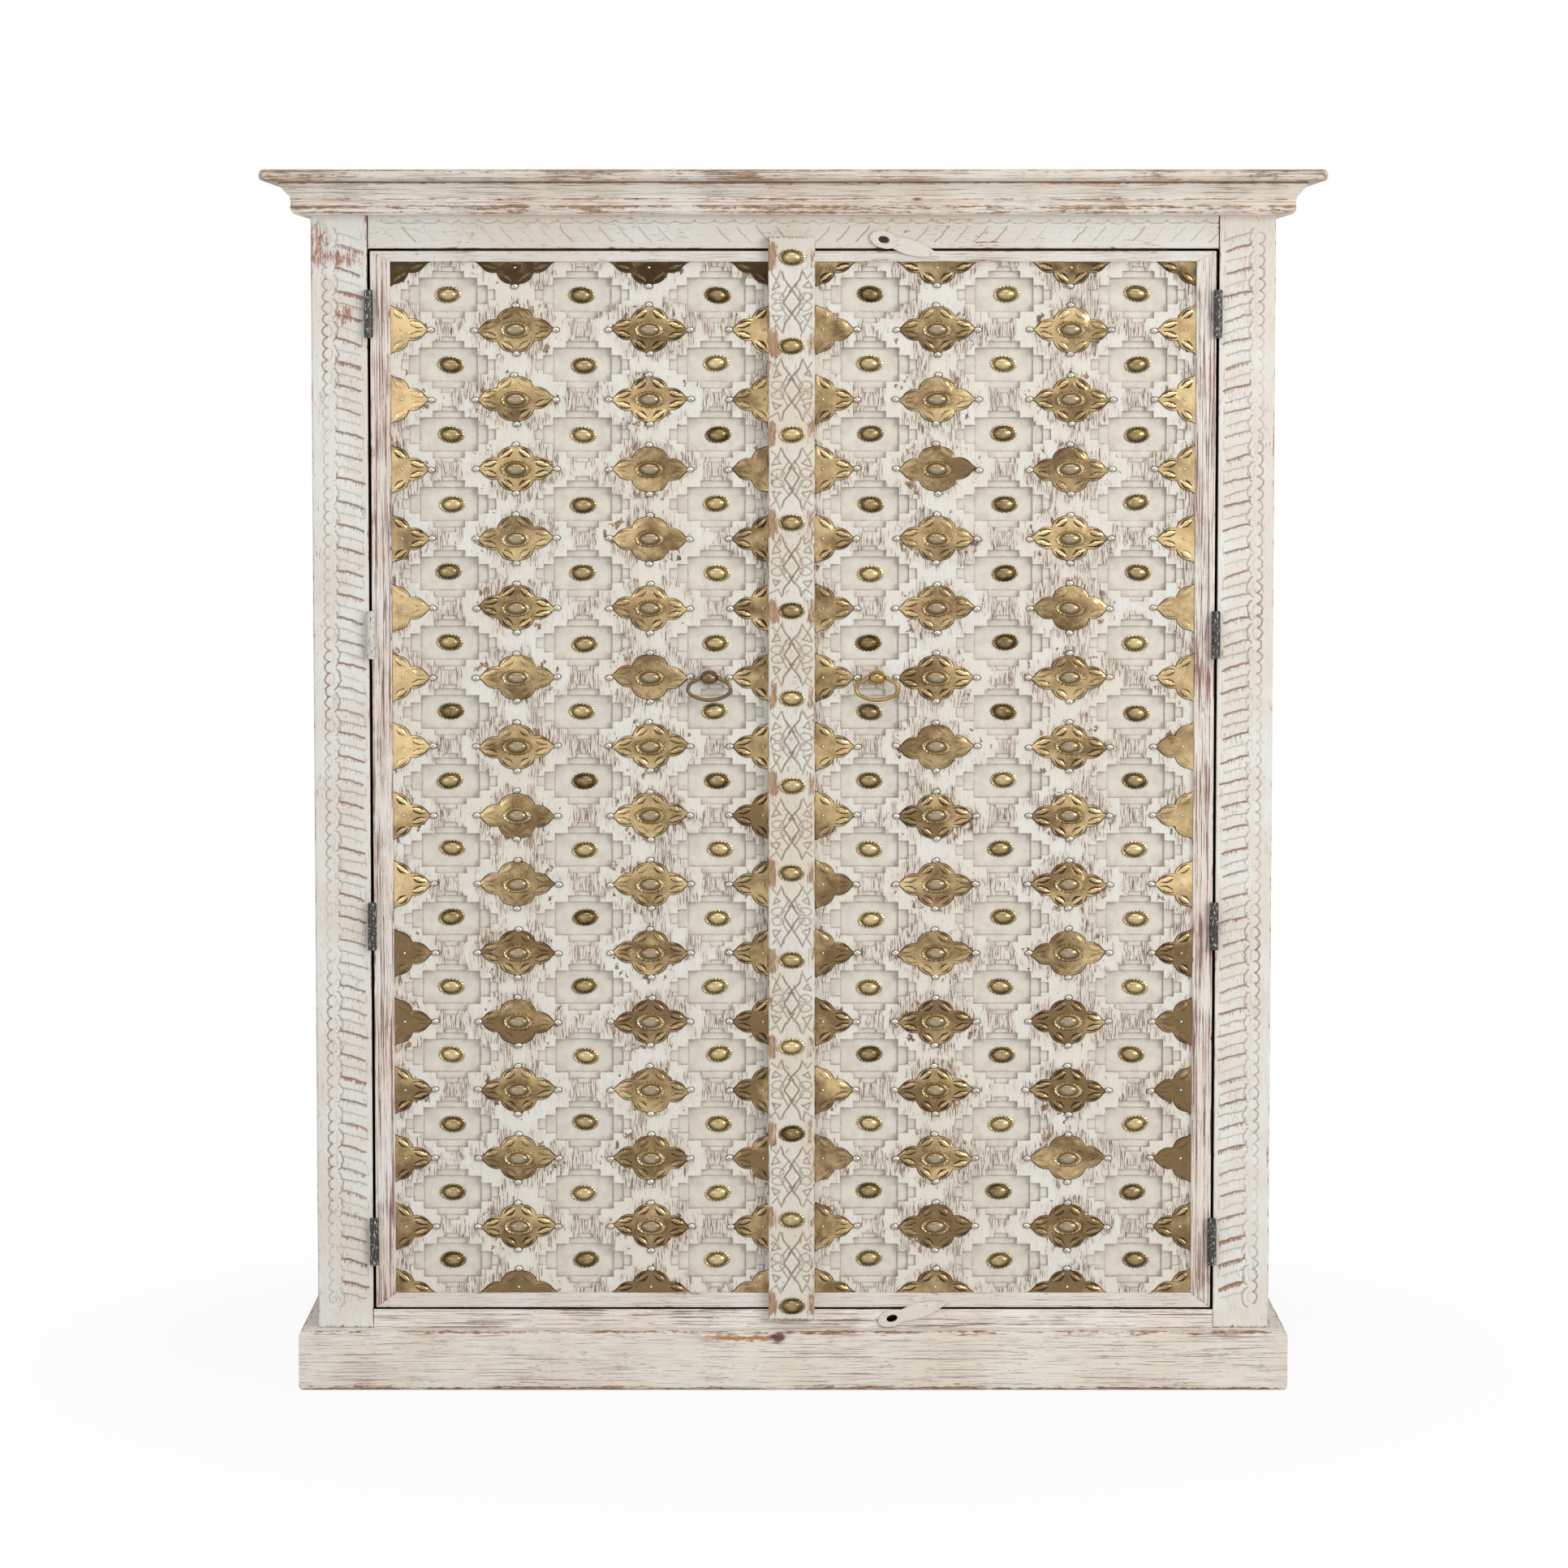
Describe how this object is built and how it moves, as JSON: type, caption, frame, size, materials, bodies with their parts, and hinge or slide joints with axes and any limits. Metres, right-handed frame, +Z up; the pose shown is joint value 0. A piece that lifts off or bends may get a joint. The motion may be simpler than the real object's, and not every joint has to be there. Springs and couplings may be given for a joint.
{
  "type": "two-door carved cabinet",
  "caption": "Tall painted cabinet with inset carved doors set with brass flowers and domed nails, ring pulls, hasps, a moulded cornice and a plinth.",
  "frame": {"origin": "on the floor, at the middle of the box round the whole cabinet", "axes": "+Z up; -Y out of the doors, towards someone facing them; +X to that person's right"},
  "size_m": [1.293, 0.458, 1.5],
  "materials": {
    "painted_wood": "thin pale grey-green and white paint, worn through to brown wood at the edges",
    "plain_wood": "sawn and planed, unpainted",
    "brass_sheet": "embossed, tarnished in patches",
    "brass": "rubbed, dull",
    "antique_bronze": "darkened",
    "tinned_nails": "dull",
    "black_iron": "blackened, flecked with paint"
  },
  "bodies": {
    "case": {"left_side_panel": "painted_wood", "right_side_panel": "painted_wood", "back_boards": "plain_wood", "floor_board": "plain_wood", "top_board": "painted_wood", "cornice_front": "painted_wood", "left_cornice_side": "painted_wood", "right_cornice_side": "painted_wood", "left_stile": "painted_wood", "right_stile": "painted_wood", "top_rail": "painted_wood", "bottom_rail": "painted_wood", "plinth_front": "painted_wood", "left_plinth_side": "painted_wood", "right_plinth_side": "painted_wood", "plinth_back": "plain_wood", "lower_shelf": "plain_wood", "middle_shelf": "plain_wood", "upper_shelf": "plain_wood", "shelf_cleats": "plain_wood", "top_door_stop": "plain_wood", "bottom_door_stop": "plain_wood", "left_hinge_frame_leaves": "black_iron", "right_hinge_frame_leaves": "black_iron", "left_hinge_pins": "black_iron", "right_hinge_pins": "black_iron", "left_hinge_frame_screws": "black_iron", "right_hinge_frame_screws": "black_iron"},
    "right_door": {"right_door_outer_stile": "painted_wood", "right_door_inner_stile": "painted_wood", "right_door_top_rail": "painted_wood", "right_door_bottom_rail": "painted_wood", "right_door_panel": "painted_wood", "right_door_rosettes": "brass", "right_door_flower_bosses": "brass", "right_door_flowers": "brass_sheet", "right_door_nails": "tinned_nails", "right_hinge_door_leaves": "black_iron", "right_hinge_door_screws": "black_iron", "right_ring_post": "brass", "astragal": "painted_wood", "astragal_rosettes": "brass", "hasp_nails": "black_iron"},
    "left_door": {"left_door_outer_stile": "painted_wood", "left_door_inner_stile": "painted_wood", "left_door_top_rail": "painted_wood", "left_door_bottom_rail": "painted_wood", "left_door_panel": "painted_wood", "left_door_rosettes": "brass", "left_door_flower_bosses": "brass", "left_door_flowers": "brass_sheet", "left_door_nails": "tinned_nails", "left_hinge_door_leaves": "black_iron", "left_hinge_door_screws": "black_iron", "left_ring_post": "antique_bronze"},
    "right_ring": {"right_ring": "brass"},
    "left_ring": {"left_ring": "antique_bronze"},
    "upper_hasp": {"upper_hasp": "painted_wood"},
    "lower_hasp": {"lower_hasp": "painted_wood"}
  },
  "joints": [
    {"name": "right_door_hinge", "type": "hinge", "parent": "case", "child": "right_door", "pos_m": [0.518, -0.1771, 0.75425], "axis": [0, 0, 1], "range_deg": [0, 170]},
    {"name": "left_door_hinge", "type": "hinge", "parent": "case", "child": "left_door", "pos_m": [-0.518, -0.1771, 0.75425], "axis": [0, 0, 1], "range_deg": [-170, 0]},
    {"name": "right_ring_swing", "type": "hinge", "parent": "right_door", "child": "right_ring", "pos_m": [0.103, -0.1783, 0.88191], "axis": [-1, 0, 0], "range_deg": [0, 150]},
    {"name": "left_ring_swing", "type": "hinge", "parent": "left_door", "child": "left_ring", "pos_m": [-0.103, -0.1783, 0.88191], "axis": [-1, 0, 0], "range_deg": [0, 150]},
    {"name": "upper_hasp_turn", "type": "hinge", "parent": "right_door", "child": "upper_hasp", "pos_m": [0.17, -0.1733, 1.3995], "axis": [0, -1, 0], "range_deg": [0, 80]},
    {"name": "lower_hasp_turn", "type": "hinge", "parent": "right_door", "child": "lower_hasp", "pos_m": [0.182, -0.1733, 0.104], "axis": [0, 1, 0], "range_deg": [0, 80]}
  ],
  "couplings": [
    {"joint": "left_door_hinge", "follows": "right_door_hinge", "ratio": -1}
  ]
}
